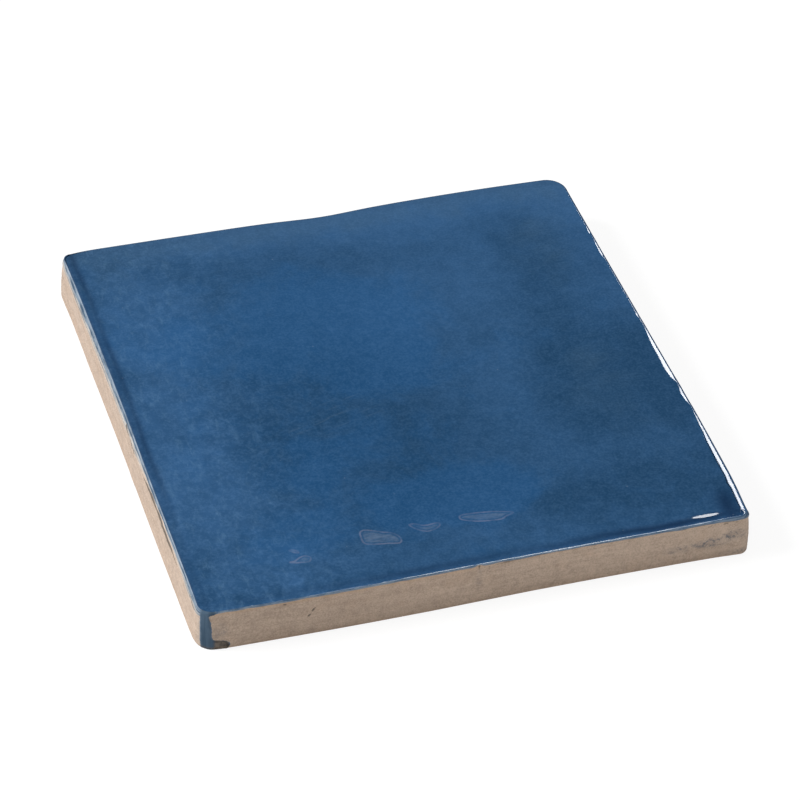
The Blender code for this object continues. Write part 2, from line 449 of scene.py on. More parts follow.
bpy.ops.object.mode_set(mode="EDIT")
bpy.ops.mesh.select_all(action="DESELECT")
bpy.ops.object.mode_set(mode="OBJECT")
subdivide_faces(near_marks, 1)
subdivide_faces(near_shoulder, 3)
subdivide_faces(by_worn_sides, 1)
subdivide_faces(near_chips, 1)
bpy.ops.object.mode_set(mode="EDIT")
bpy.ops.mesh.select_all(action="SELECT")
bpy.ops.mesh.region_to_loop()
bpy.ops.mesh.extrude_region_move(TRANSFORM_OT_translate={"value": (0.0, 0.0, -RINGS * RING_STEP)})
bpy.ops.mesh.edge_face_add()
bpy.ops.mesh.select_all(action="SELECT")
bpy.ops.mesh.normals_make_consistent(inside=False)
bpy.ops.mesh.select_all(action="DESELECT")
bpy.ops.mesh.select_mode(type="EDGE")
bpy.ops.object.mode_set(mode="OBJECT")
for edge in slab.data.edges:
    start, end = (slab.data.vertices[index].co for index in edge.vertices)
    edge.select = abs(start.z - end.z) > RING_STEP
bpy.ops.object.mode_set(mode="EDIT")
bpy.ops.mesh.subdivide(number_cuts=RINGS - 1)
bpy.ops.object.mode_set(mode="OBJECT")

co = np.empty(len(slab.data.vertices) * 3, np.float32)
slab.data.vertices.foreach_get("co", co)
co = co.reshape(-1, 3).astype(float)
ring_of = np.rint(-co[:, 2] / RING_STEP).astype(int)
across, back = graded(co[:, 0]), graded(co[:, 1])
placed = np.zeros_like(co)

# What the finish reads at each point, beside its place. The values to start with are those of the plain
# face: millimetres inside the glaze's end, past the slope, inside the run and from a nick or a mark,
# and shares of the rest. The way is the place on the outline and the distance travelled down from the
# face.
WELL_COVERED = 5.0
PLAIN_LIGHTNESS = 0.5
layers = {
    "cover": np.full(len(co), WELL_COVERED),
    "rim": np.zeros(len(co)),
    "pale": np.zeros(len(co)),
    "ridge_tint_and_shade": np.zeros(len(co)),
    "crest_pale_and_glint": np.zeros(len(co)),
    "run": np.full(len(co), -FAR_FROM_RUN),
    "nick": np.full(len(co), FAR_FROM_MARK),
    "wash": np.zeros(len(co)),
    "dust": np.zeros(len(co)),
    "pool": np.zeros(len(co)),
    "lighter": np.full(len(co), PLAIN_LIGHTNESS),
    "cooler": np.zeros(len(co)),
    "mark": np.full(len(co), FAR_FROM_MARK),
}
way = np.zeros_like(co)

# The face fits between its four sides as a sheet stretched between them
on_face = ring_of == 0
u, v = across[on_face], back[on_face]


def blend(a, b, share):
    return a + (b - a) * share[:, None]


corners = {side: Edge(side, np.array([0.0, 1.0])).face_end() for side in SIDES}
between_sides = blend(Edge("left", 1 - v).face_end(), Edge("right", v).face_end(), u)
between_ends = blend(Edge("front", u).face_end(), Edge("back", 1 - u).face_end(), v)
front_line = blend(corners["front"][:1], corners["front"][1:], u)
back_line = blend(corners["back"][1:], corners["back"][:1], u)
placed[on_face, :2] = between_sides + between_ends - blend(front_line, back_line, v)

# The rings below the face, side by side, from the slope over the roll and the lip to the foot. Each
# point also gets how pale, dark or dusty the finish is there.
BORDER = 1e-6
border_side = {
    "front": back < BORDER,
    "right": across > 1 - BORDER,
    "back": back > 1 - BORDER,
    "left": across < BORDER,
}
border_share = {"front": across, "right": back, "back": 1 - across, "left": 1 - back}
PALE_RIM = {"front": 0.68, "right": 0.12, "back": 0.35, "left": 1.0}
# The pale line along the crest is partly thin glaze and partly a painted glint
CREST_PALE_AND_GLINT_BY_SIDE = {"front": 0.0, "right": 0.0, "back": 0.3, "left": 1.0}
# The dark line along the ridge is partly a greyer tint of the glaze and partly painted shade
RIDGE_TINT_AND_SHADE = {"front": 0.0, "right": 0.0, "back": 0.15, "left": 0.30}
DUSTY_SIDE = {"front": 0.0, "right": 0.4, "back": 0.5, "left": 1.0}
PALE_BACK_LEFT = 0.9
PALE_FULL_AT = 0.00022
CREST_AT = 0.00018
CREST_HALF_WIDTH = 0.00011
RIDGE_HALF_WIDTH = 0.00022

# The glaze's end is soft over this much, with a bead above it, and the two left corners are worn in
END_SOFTNESS = 0.0001
BEAD_UP = 0.0002
BEAD_OF_LIP = 0.3
FOOT_FROM = -0.2
FOOT_FULL_AT = 0.8
CORNER_EASE = 0.00050
FOOT_EASE = 0.00050
FOOT_EASE_BACK_LEFT = 0.35
BACK_LEFT_REACH = 0.0034
FRONT_LEFT_REACH = 0.0030

# Two sizes of grain in the clay, as (height, scale)
COARSE_GRAIN = (0.00004, 900.0)
FINE_GRAIN = (0.00003, 2300.0)
for side in SIDES:
    below = border_side[side] & (ring_of > 0)
    edge = Edge(side, border_share[side][below])
    ring = ring_of[below]
    rim_edge = edge.face_end()
    top = face_height(rim_edge[:, 0], rim_edge[:, 1])
    sloped = np.clip(ring / SLOPE_RINGS, 0, 1)
    rolled = np.clip((ring - SLOPE_RINGS) / ROLL_RINGS, 0, 1)
    down_side = np.clip((ring - RIM_RINGS) / SIDE_RINGS, 0, 1)
    round_arris = np.clip((ring - RIM_RINGS - SIDE_RINGS) / ARRIS_RINGS, 0, 1) * math.pi / 2
    angle = SLOPE_TILT + rolled * (math.pi / 2 - SLOPE_TILT)
    slope_drop = edge.slope_in * math.tan(SLOPE_TILT)
    side_height = top - slope_drop - edge.roll_down - BACK_ARRIS
    roll_out = (np.sin(angle) - math.sin(SLOPE_TILT)) / (1 - math.sin(SLOPE_TILT))
    roll_drop = (math.cos(SLOPE_TILT) - np.cos(angle)) / math.cos(SLOPE_TILT)
    inset = edge.slope_in * (1 - sloped) + edge.roll_in * (1 - roll_out) - edge.lip
    height = top - slope_drop * sloped - edge.roll_down * roll_drop - side_height * down_side
    past_slope = (edge.roll_in + edge.roll_down) / 2 * (angle - SLOPE_TILT) + side_height * down_side
    travelled = edge.slope_in * sloped / math.cos(SLOPE_TILT) + past_slope
    run = inside_corner_run(edge, height)
    left_above = np.maximum(glaze_reach(edge) - past_slope, run)
    glazed = ramp(left_above, -END_SOFTNESS, END_SOFTNESS)
    bead = BEAD_OF_LIP * edge.lip * swell(left_above - BEAD_UP, BEAD_UP)
    lean_in = edge.lip * (1 - glazed) - bead
    foot = edge.foot_out * (1 - glazed) * ramp(down_side, FOOT_FROM, FOOT_FULL_AT)
    inset = inset + np.sin(angle) * lean_in - foot
    height = height - np.cos(angle) * lean_in
    inset = inset + BACK_ARRIS * (1 - np.cos(round_arris))
    height = height - BACK_ARRIS * np.sin(round_arris)
    point_x, point_y = edge.point[:, 0], edge.point[:, 1]
    to_back_left = swell(np.hypot(point_x + HALF, point_y - HALF), BACK_LEFT_REACH)
    to_front_left = swell(np.hypot(point_x + HALF, point_y + HALF), FRONT_LEFT_REACH)
    worn_foot = np.maximum(to_front_left, FOOT_EASE_BACK_LEFT * to_back_left)
    inset = inset + CORNER_EASE * to_back_left * (1 - down_side) ** 2
    inset = inset + FOOT_EASE * worn_foot * down_side ** 3
    nick = outside_nicks(side, edge.places(side), height)
    sunk_in = 1 - ramp(nick, NICK_INSIDE, NICK_OUTSIDE)
    inset = inset + NICK_DEPTH * sunk_in * (1 - edge.to_next - edge.to_last)
    grain = COARSE_GRAIN[0] * waver(point_x, point_y, height, COARSE_GRAIN[1])
    grain += FINE_GRAIN[0] * waver(point_x, point_y, height * 2, FINE_GRAIN[1])
    inset = inset + grain * (1 - glazed) * (round_arris == 0)
    placed[below, :2] = edge.moved_in(inset)
    placed[below, 2] = height
    way[below, :2] = edge.point
    way[below, 2] = travelled
    layers["cover"][below] = left_above / MM
    layers["rim"][below] = travelled / MM
    off_run = ramp(run, 0.0003, -0.0001)
    pale_here = np.maximum(edge.shared(PALE_RIM.get), PALE_BACK_LEFT * to_back_left)
    crest_pale_and_glint_here = edge.shared(CREST_PALE_AND_GLINT_BY_SIDE.get) * swell(travelled - CREST_AT, CREST_HALF_WIDTH)
    layers["pale"][below] = pale_here * ramp(travelled, 0.0, PALE_FULL_AT) * off_run
    layers["crest_pale_and_glint"][below] = crest_pale_and_glint_here * off_run
    layers["ridge_tint_and_shade"][below] = edge.shared(RIDGE_TINT_AND_SHADE.get) * swell(travelled, RIDGE_HALF_WIDTH)
    layers["run"][below] = run / MM
    layers["nick"][below] = nick
    layers["wash"][below] = washed(side, edge.places(side), height)
    layers["dust"][below] = edge.shared(DUSTY_SIDE.get)

# The glaze's own relief on the face: a trough inside each rim, where it pooled darker, a shoulder near
# the front right corner that catches the light, a slow ripple, and the raised edges of the sunk marks
x, y = placed[on_face, 0], placed[on_face, 1]
to_side = {
    "front": y + HALF + waves_at(SIDE_WAVES["front"], x / HALF),
    "right": HALF + waves_at(SIDE_WAVES["right"], y / HALF) - x,
    "back": HALF + waves_at(SIDE_WAVES["back"], x / HALF) - y,
    "left": x + HALF + waves_at(SIDE_WAVES["left"], y / HALF),
}
place_on = {"front": x / HALF, "right": y / HALF, "back": x / HALF, "left": y / HALF}
POOL_IN = {"front": 0.0013, "right": 0.0030, "back": 0.0016, "left": 0.0021}
POOL_WIDTH = {"front": 0.0009, "right": 0.0019, "back": 0.0010, "left": 0.00066}
POOL_DEPTH = {"front": 0.00003, "right": 0.00001, "back": 0.00001, "left": 0.00005}
POOL_DARKNESS = {
    "front": ((0, 0.12), (22, 0.25), (38, 0.46), (60, 0.45), (67, 0.70), (97, 0.88)),
    "right": ((1, 0.95), (5, 0.80), (8, 0.15), (12, 0.00)),
    "back": ((50, 0.07),),
    "left": ((2, 0.28), (10, 0.15), (24, 0.22), (34, 0.42), (45, 0.55)),
}
POOL_WANDER = ((0.00022, 260.0), (0.00008, 900.0))
LEFT_POOL_FILL = 0.5
LEFT_POOL_FROM = (0.0006, 0.0010)
SHOULDER_AT = 0.918
SHOULDER_HALF_LENGTH = 0.0026
SHOULDER_IN = 0.0019
SHOULDER_HALF_WIDTH = 0.00038
SHOULDER_DROP = 0.000055
RIPPLE = (0.000010, 420.0)
top = face_height(x, y)
pool = np.zeros(len(x))
ridge_tint_and_shade = np.zeros(len(x))
wander = sum(rise * waver(x, y, 0.0, scale) for rise, scale in POOL_WANDER)
patchy = np.clip(0.85 + 0.30 * waver(x, y, 0.0, 190.0), 0, 1)
for side in SIDES:
    trough = swell(to_side[side] - POOL_IN[side] - wander, POOL_WIDTH[side])
    top = top - POOL_DEPTH[side] * trough
    if side == "left":
        filled = LEFT_POOL_FILL * ramp(to_side[side], *LEFT_POOL_FROM) * (to_side[side] < POOL_IN[side])
        trough = np.maximum(trough, filled)
    pool = np.maximum(pool, along(POOL_DARKNESS[side], place_on[side]) * trough * patchy)
    slope_in, roll_in = along(SLOPE_IN[side], place_on[side]), along(ROLL_IN[side], place_on[side])
    to_ridge = to_side[side] - (slope_in + roll_in) * MM + GLAZE_LIP[side]
    ridge_tint_and_shade = np.maximum(ridge_tint_and_shade, RIDGE_TINT_AND_SHADE[side] * swell(to_ridge, RIDGE_HALF_WIDTH))
shoulder = ramp(to_side["front"], SHOULDER_IN + SHOULDER_HALF_WIDTH, SHOULDER_IN - SHOULDER_HALF_WIDTH)
top = top - SHOULDER_DROP * shoulder * swell(x + HALF - SHOULDER_AT * WIDTH, SHOULDER_HALF_LENGTH)
top = top + RIPPLE[0] * waver(x, y, 0.0, RIPPLE[1])
mark = np.full(len(x), FAR_FROM_MARK)
for corners_of_mark in SUNK_MARKS:
    mark = np.minimum(mark, outside_mark(x, y, closed_curve(corners_of_mark)) / MM)
placed[on_face, 2] = top + SUNK_RISE * swell(mark, SUNK_HALF_WIDTH)
way[on_face, :2] = placed[on_face, :2]
layers["pool"][on_face] = pool
layers["ridge_tint_and_shade"][on_face] = ridge_tint_and_shade
layers["mark"][on_face] = mark

# Where the brush left the glaze thicker, so darker, or thinner, so lighter, and where the kiln left it
# of a cooler or a greyer blue: (across, back, half width, half depth, how much lighter or cooler), in
# millimetres
BRUSHED = (
    (11, 74, 10, 14, 0.42),
    (9, 48, 9, 13, 0.22),
    (9, 29, 9, 12, 0.38),
    (15, 8, 10, 7, 0.20),
    (30, 100, 24, 9, 0.32),
    (62, 100, 24, 11, 0.42),
    (94, 96, 12, 12, 0.36),
    (72, 78, 14, 12, 0.12),
    (50, 63, 17, 11, 0.08),
    (40, 38, 21, 28, -0.34),
    (60, 24, 18, 18, -0.16),
    (85, 42, 12, 21, -0.58),
    (84, 11, 20, 9, -0.46),
    (98, 38, 4, 22, -0.50),
    (97.5, 5.5, 2.2, 4, -0.95),
    (19.3, 2.1, 1.4, 0.7, 1.10),
    (87, 78, 8, 15, -0.34),
    (46, 86, 30, 6, -0.12),
)
COOLER = (
    (40, 68, 24, 17, 0.9),
    (52, 52, 14, 8, 0.6),
    (12, 68, 10, 13, 0.3),
    (12, 33, 9, 16, 0.3),
    (36, 30, 18, 22, 0.5),
    (52, 17, 16, 9, 0.8),
    (20, 14, 11, 7, 0.5),
    (50, 101, 62, 8, -0.9),
    (92, 88, 10, 14, -0.4),
    (88, 38, 9, 16, -0.5),
    (10, 94, 12, 9, -0.4),
)


def patches(places, across_mm, back_mm):
    """The sum of soft-edged patches over the face."""
    total = np.zeros(len(across_mm))
    for middle_x, middle_y, half_x, half_y, amount in places:
        away = np.hypot((across_mm - middle_x) / half_x, (back_mm - middle_y) / half_y)
        total = total + amount * plateau(away, 1.0)
    return total


BROAD_WANDER = 1.6
FINE_WANDER = 0.5
across_mm = (x + HALF) / MM + BROAD_WANDER * waver(x, y, 0.0, 150.0) + FINE_WANDER * waver(x, y, 0.0, 600.0)
back_mm = (y + HALF) / MM + BROAD_WANDER * waver(y, x, 0.0, 170.0) + FINE_WANDER * waver(y, x, 0.0, 640.0)
layers["lighter"][on_face] += patches(BRUSHED, across_mm, back_mm)
layers["cooler"][on_face] = patches(COOLER, across_mm, back_mm)

# The slab's box is brought over the origin, as the CAD's is
middle = (placed[:, :2].min(0) + placed[:, :2].max(0)) / 2
placed[:, :2] -= middle
slab.data.vertices.foreach_set("co", placed.astype(np.float32).ravel())
slab.data.update()
for name, values in layers.items():
    layer = slab.data.attributes.new(name, "FLOAT", "POINT")
    layer.data.foreach_set("value", values.astype(np.float32))
layer = slab.data.attributes.new("way", "FLOAT_VECTOR", "POINT")
layer.data.foreach_set("vector", way.astype(np.float32).ravel())
slab.data.shade_smooth()


class Value:
    """One output in a finish's node tree. Arithmetic on it adds the Math nodes."""

    def __init__(self, finish, socket):
        self.finish = finish
        self.socket = socket

    def maths(self, operation, *numbers):
        return self.finish.add("Math", {"operation": operation}, dict(enumerate(numbers)))

    def __add__(self, other):
        return self.maths("ADD", self, other)

    def __radd__(self, other):
        return self.maths("ADD", other, self)

    def __sub__(self, other):
        return self.maths("SUBTRACT", self, other)

    def __rsub__(self, other):
        return self.maths("SUBTRACT", other, self)

    def __mul__(self, other):
        return self.maths("MULTIPLY", self, other)

    def __rmul__(self, other):
        return self.maths("MULTIPLY", other, self)

    def size(self):
        return self.maths("ABSOLUTE", self)

    def between(self, low, high):
        """0 at low, 1 at high, and smooth between them. Low may be the larger."""
        settings = {"interpolation_type": "SMOOTHSTEP"}
        rise = {"Value": self, "From Min": min(low, high), "From Max": max(low, high)}
        if low > high:
            rise.update({"To Min": 1.0, "To Max": 0.0})
        return self.finish.add("MapRange", settings, rise)


class Finish:
    """The node tree of a material, or of the studio's walls."""

    def __init__(self, owner):
        owner.use_nodes = True
        self.owner = owner
        self.tree = owner.node_tree
        self.tree.nodes.clear()

    def add(self, kind, settings=None, inputs=None, output=0):
        node = self.tree.nodes.new("ShaderNode" + kind)
        for name, setting in (settings or {}).items():
            setattr(node, name, setting)
        for name, value in (inputs or {}).items():
            if isinstance(value, Value):
                self.tree.links.new(value.socket, node.inputs[name])
            else:
                node.inputs[name].default_value = value
        return Value(self, node.outputs[output]) if node.outputs else None

    def mixed(self, share, first, second):
        """A colour that goes from the first to the second as the share goes from 0 to 1."""
        settings = {"data_type": "RGBA", "clamp_factor": True}
        return self.add("Mix", settings, {0: share, 6: first, 7: second}, output=2)

    def attribute(self, name, output=2):
        return self.add("Attribute", {"attribute_name": name}, output=output)

    def noise(self, where, scale, detail=2.0, roughness=0.5, distortion=0.0):
        size = {"Vector": where, "Scale": scale}
        kind = {"Detail": detail, "Roughness": roughness, "Distortion": distortion}
        return self.add("TexNoise", {}, {**size, **kind})

    def mapped(self, where, vector_type="POINT", location=(0.0, 0.0, 0.0), turn=0.0, scale=(1.0, 1.0, 1.0)):
        """The place, turned and stretched, so that a pattern runs in long marks."""
        inputs = {"Vector": where, "Location": location, "Rotation": (0.0, 0.0, turn), "Scale": scale}
        return self.add("Mapping", {"vector_type": vector_type}, inputs)


def colour(red, green, blue):
    return (red, green, blue, 1.0)


# The finish: one material, because glaze and clay were fired together and meet in a ragged line. The
# glaze is glassy and blue, mottled where the brush left it thicker or thinner. The clay is matt, sandy
# and beige.
CLAY_ROUGHNESS = 0.92
GLAZE_ROUGHNESS = 0.055
GLAZE_IOR = 1.5
GRIT_HEIGHT = 0.0001
finish = Finish(bpy.data.materials.new("fired_tile"))
where = finish.add("TexCoord", {}, output=3)
way_here = finish.attribute("way", output=1)
height_here = finish.add("SeparateXYZ", {}, {"Vector": where}, output=2)
across_here = finish.add("SeparateXYZ", {}, {"Vector": where}, output=0)
back_here = finish.add("SeparateXYZ", {}, {"Vector": where}, output=1)
cover_here = finish.attribute("cover")
rim_here = finish.attribute("rim")
edge_of_glaze = cover_here + 0.30 * (finish.noise(where, 2600.0, 3.0) - 0.5)
glazed_here = edge_of_glaze.between(-0.05, 0.06)

# Blue glaze, from thick and dark to thin and light, in cool and grey clouds
DEEP_BLUE = colour(0.0125, 0.0530, 0.1230)
BRIGHT_BLUE = colour(0.0350, 0.1080, 0.2420)
COOL_BLUE = colour(0.0120, 0.0900, 0.2480)
GREY_BLUE = colour(0.0520, 0.1100, 0.1850)
cloud = finish.noise(where, 48.0, 4.0, 0.55, 0.3) - 0.5
patch = finish.noise(where, 220.0, 4.0, 0.6, 0.6) - 0.5
to_left = across_here.between(-0.010, -0.038)
to_front = back_here.between(-0.028, -0.044)
patchiness = 0.70 + 0.45 * to_left + 0.45 * to_front
blue = finish.mixed(finish.attribute("lighter") + 0.45 * cloud + patchiness * patch, DEEP_BLUE, BRIGHT_BLUE)
cooler = finish.attribute("cooler") + 2.2 * (finish.noise(where, 75.0, 6.0, 0.7, 0.4) - 0.5)
blue = finish.mixed(cooler.between(0.10, 0.80) * 0.36, blue, COOL_BLUE)
blue = finish.mixed(cooler.between(-0.10, -0.90) * 0.35, blue, GREY_BLUE)

# Pale wisps and a fine veil of tiny bubbles in the glaze, a few larger ones, and the strokes of a stiff
# brush
WISP_BLUE = colour(0.16, 0.31, 0.48)
VEIL_BLUE = colour(0.20, 0.40, 0.70)
STROKE_GREY = colour(0.30, 0.42, 0.50)
BUBBLE_GREY = colour(0.30, 0.38, 0.48)
BUBBLES_PER_METRE = 420.0
flecks = finish.noise(where, 700.0, 4.0, 0.65, 0.4) - 0.5
wisps_way = finish.mapped(where, turn=-0.2, scale=(700.0, 280.0, 300.0))
wisps = finish.noise(wisps_way, 1.0, 5.0, 0.72, 0.6).between(0.50, 0.72)
blue = finish.mixed(wisps * across_here.between(-0.012, -0.042) * 0.17, blue, WISP_BLUE)
grain = finish.noise(where, 2300.0, 2.0, 0.6) - 0.5
veil = 0.030 + (0.22 + 0.05 * to_left) * grain + (0.13 + 0.20 * to_left) * flecks
blue = finish.mixed(veil, blue, VEIL_BLUE)
STROKES_AT = (-0.013, -0.0065, 0.009)
STROKES_TURN = math.radians(18)
strokes_way = finish.mapped(where, "TEXTURE", STROKES_AT, STROKES_TURN, (0.0140, 0.0010, 0.0010))
strokes_round = finish.mapped(where, "TEXTURE", STROKES_AT, STROKES_TURN, (0.0130, 0.0058, 0.02))
strokes_place = finish.add("VectorMath", {"operation": "LENGTH"}, {0: strokes_round}, output=1)
strokes = finish.noise(strokes_way, 1.1, 4.0, 0.65).between(0.53, 0.68) * strokes_place.between(1.0, 0.5)
blue = finish.mixed(strokes * 0.085, blue, STROKE_GREY)
bubbles = {"Vector": where, "Scale": BUBBLES_PER_METRE}
from_middle = finish.add("TexVoronoi", {}, bubbles)
chance = finish.add("SeparateColor", {}, {"Color": finish.add("TexVoronoi", {}, bubbles, output=1)})
bubble = (0.08 - from_middle).between(0.0, 0.05) * chance.between(0.88, 0.91)
blue = finish.mixed(bubble * 0.22, blue, BUBBLE_GREY)

# Darker where it has pooled beside the rim, and greyer and darker along the ridge, partly the glaze's own
# tint and partly painted shade
POOL_BLUE = colour(0.0050, 0.0210, 0.0620)
RIDGE_TINT_AND_SHADE_BLUE = colour(0.0300, 0.0500, 0.0850)
blue = finish.mixed(finish.attribute("pool"), blue, POOL_BLUE)
blue = finish.mixed(finish.attribute("ridge_tint_and_shade"), blue, RIDGE_TINT_AND_SHADE_BLUE)

# The sunk marks: a thin pinkish line that comes and goes, a painted reflection along each raised edge,
# round a faintly milky middle that is partly thinner glaze and partly painted reflection
MARK_REFLECTION_PINK = colour(0.38, 0.37, 0.47)
MARK_MILK_AND_REFLECTION = colour(0.34, 0.40, 0.48)
mark_here = finish.attribute("mark") + 0.16 * (finish.noise(where, 900.0, 3.0, 0.6) - 0.5)
reflection_line_strength = 0.07 + 0.17 * finish.noise(where, 420.0, 2.0).between(0.30, 0.62)
blue = finish.mixed(mark_here.size().between(0.28, 0.02) * reflection_line_strength, blue, MARK_REFLECTION_PINK)
milk_way = finish.mapped(where, turn=0.25, scale=(500.0, 2600.0, 500.0))
milk_and_reflection_strength = 0.07 + 0.13 * finish.noise(milk_way, 1.0, 3.0).between(0.35, 0.70)
blue = finish.mixed(mark_here.between(-0.18, -0.70) * milk_and_reflection_strength, blue, MARK_MILK_AND_REFLECTION)

# Where the glaze breaks thin over the rim it is slate and milky grey in long streaks, with a whitish
# lower lip and a pale line along the crest of the left side, which is partly thin glaze and partly a painted
# glint
THIN_SLATE = colour(0.058, 0.098, 0.148)
THIN_MILKY = colour(0.215, 0.270, 0.330)
LIP_CLEAN = colour(0.42, 0.48, 0.53)
LIP_DUSTY = colour(0.62, 0.57, 0.51)
CREST_PALE_AND_GLINT_BLUE = colour(0.42, 0.50, 0.60)
streak = finish.noise(finish.mapped(way_here, scale=(260.0, 260.0, 3000.0)), 1.0, 4.0, 0.65)
thin_glaze = finish.mixed(streak.between(0.42, 0.58), THIN_SLATE, THIN_MILKY)
lip_patch = finish.noise(finish.mapped(way_here, scale=(160.0, 160.0, 900.0)), 1.0, 3.0).between(0.30, 0.60)
dust = finish.attribute("dust")
lip = (edge_of_glaze - 0.60 * dust).between(0.42, 0.08) * (0.35 + 0.65 * lip_patch)
lip = lip * (1 - dust * rim_here.between(0.80, 0.45)) * (0.85 - 0.30 * across_here.between(-0.001, 0.004))
thin_glaze = finish.mixed(lip, thin_glaze, finish.mixed(dust, LIP_CLEAN, LIP_DUSTY))
crest_patch = finish.noise(finish.mapped(way_here, scale=(170.0, 170.0, 300.0)), 1.0, 4.0, 0.6)
crest_pale_and_glint = finish.attribute("crest_pale_and_glint") * (0.15 + 0.70 * crest_patch.between(0.38, 0.60))
thin_glaze = finish.mixed(crest_pale_and_glint, thin_glaze, CREST_PALE_AND_GLINT_BLUE)
glaze = finish.mixed(finish.attribute("pale"), blue, thin_glaze)

# The run down the corner: slate, paler along its end, and brown where dirt stuck to it at the foot
RUN_SLATE = colour(0.050, 0.084, 0.126)
RUN_THINNER = colour(0.082, 0.130, 0.188)
RUN_END = colour(0.22, 0.27, 0.32)
DARK_DIRT = colour(0.066, 0.052, 0.038)
DRY_DIRT = colour(0.210, 0.168, 0.130)
run_here = finish.attribute("run") + 0.35 * (finish.noise(where, 900.0, 3.0) - 0.5)
slate_streak = finish.noise(finish.mapped(way_here, scale=(1500.0, 1500.0, 130.0)), 1.0, 3.0)
slate = finish.mixed(0.6 * flecks + slate_streak.between(0.3, 0.7), RUN_SLATE, RUN_THINNER)
dirty_foot = across_here.between(-0.0480, -0.0472) * height_here.between(0.0045, 0.0030)
dirt = dirty_foot * 0.9 + height_here.between(0.0010, 0.0004) * 0.5
dirt_tone = (2.2 * flecks + 0.5).between(0.15, 0.85)
slate = finish.mixed(dirt, slate, finish.mixed(dirt_tone, DARK_DIRT, DRY_DIRT))
slate = finish.mixed(run_here.between(0.34, 0.04) * 0.30, slate, RUN_END)
glaze = finish.mixed(run_here.between(-0.02, 0.10), glaze, slate)

# Bare biscuit with sand, stains and long drag marks, and a warmer tint along its edges
DARK_CLAY = colour(0.370, 0.280, 0.216)
PALE_CLAY = colour(0.620, 0.482, 0.378)
STAINED_CLAY = colour(0.50, 0.35, 0.25)
WARM_CLAY = colour(0.56, 0.37, 0.24)
sand = finish.noise(where, 3200.0, 3.0, 0.7)
blotch = finish.noise(where, 620.0, 4.0, 0.6)
stain = finish.noise(where, 240.0, 3.0, 0.6)
drag = finish.noise(finish.mapped(way_here, scale=(90.0, 90.0, 1800.0)), 1.0, 3.0, 0.6)
tone = 0.54 * sand + 0.27 * blotch + 0.19 * drag + 0.06 * across_here.between(-0.05, 0.03)
clay = finish.mixed(tone.between(0.34, 0.71), DARK_CLAY, PALE_CLAY)
clay = finish.mixed(stain.between(0.5, 0.75) * 0.25, clay, STAINED_CLAY)
top_warmth = 1.6 - across_here.between(-0.002, 0.002)
by_edge = height_here.between(0.0012, 0.0002) + top_warmth * height_here.between(0.0076, 0.0084)
clay = finish.mixed(by_edge * 0.22, clay, WARM_CLAY)

# What lies on the clay or in it: dust on the sides, a chalky line under the lip, pores and the grey washes,
# and a painted shadow under the front lip
DUST = colour(0.50, 0.45, 0.42)
CHALK = colour(0.60, 0.56, 0.52)
PORE_BROWN = colour(0.20, 0.15, 0.12)
WASH_GREY = colour(0.140, 0.150, 0.168)
LIP_SHADOW_BROWN = colour(0.115, 0.095, 0.080)
clay = finish.mixed(dust * (0.05 + 0.15 * drag.between(0.35, 0.7)), clay, DUST)
clay = finish.mixed(cover_here.between(-0.9, 0.0) * dust * 0.35, clay, CHALK)
pores = finish.noise(where, 1500.0, 2.0, 0.5).between(0.66, 0.74)
clay = finish.mixed(pores * 0.30, clay, PORE_BROWN)
speckle = finish.noise(where, 1300.0, 4.0, 0.75).between(0.47, 0.60)
clay = finish.mixed(finish.attribute("wash") * (0.20 + 0.75 * speckle), clay, WASH_GREY)
# A painted shadow just below the glaze's ragged end, strongest on the front's right half and none on the
# left side
under_lip_shadow = edge_of_glaze.between(-0.30, -0.06) * finish.noise(way_here, 420.0, 3.0).between(0.48, 0.62)
under_lip_shadow = under_lip_shadow * (1 - dust) * (0.45 + 0.55 * across_here.between(-0.001, 0.003))
clay = finish.mixed(under_lip_shadow * 0.75, clay, LIP_SHADOW_BROWN)

# The two together, with the nicks through both, glassy on the glaze and gritty on the clay. The nicks,
# pinholes and the crevice are painted dark brown, partly dirt and partly painted shade in these hollows
NICK_SHADE_AND_DIRT_BROWN = colour(0.100, 0.087, 0.073)
surface = finish.mixed(glazed_here, clay, glaze)
nick_here = finish.attribute("nick") + 0.22 * (finish.noise(where, 1600.0, 3.0) - 0.5)
surface = finish.mixed(nick_here.between(0.16, -0.10) * 0.86, surface, NICK_SHADE_AND_DIRT_BROWN)
roughness = CLAY_ROUGHNESS - (CLAY_ROUGHNESS - GLAZE_ROUGHNESS) * glazed_here + 0.05 * patch
grit = finish.noise(where, 2400.0, 4.0, 0.7) * (1 - glazed_here)
relief = finish.add("Bump", {}, {"Strength": 0.5, "Distance": GRIT_HEIGHT, "Height": grit})
body = {"Base Color": surface, "Roughness": roughness, "Normal": relief, "IOR": GLAZE_IOR}
shader = finish.add("BsdfPrincipled", {}, body)
finish.add("OutputMaterial", {}, {"Surface": shader})
slab.data.materials.clear()
slab.data.materials.append(finish.owner)

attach(slab, "root")
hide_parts("wall_tile")

# The floor: a plain white table top that the tile lies on, wide enough to fill every view. It glows
# enough to stay white round the tile, and is dim enough under that to keep the tile's shadow.
FLOOR_SIDE = 40.0
FLOOR_GAP = 0.00002
FLOOR_PAPER = colour(0.85, 0.85, 0.85)
FLOOR_SHADED = colour(0.20, 0.20, 0.20)
FLOOR_GLOW = 0.87
WHITE = colour(1.0, 1.0, 1.0)
for picked in bpy.context.selected_objects:
    picked.select_set(False)
bpy.ops.mesh.primitive_plane_add(size=FLOOR_SIDE, location=(0.0, 0.0, -FLOOR_GAP))
table_top = bpy.context.object
table_top.name = "table_top"


CAMERA_RAY = 0
GLOSSY_RAY = 3
TRANSMISSION_RAY = 6


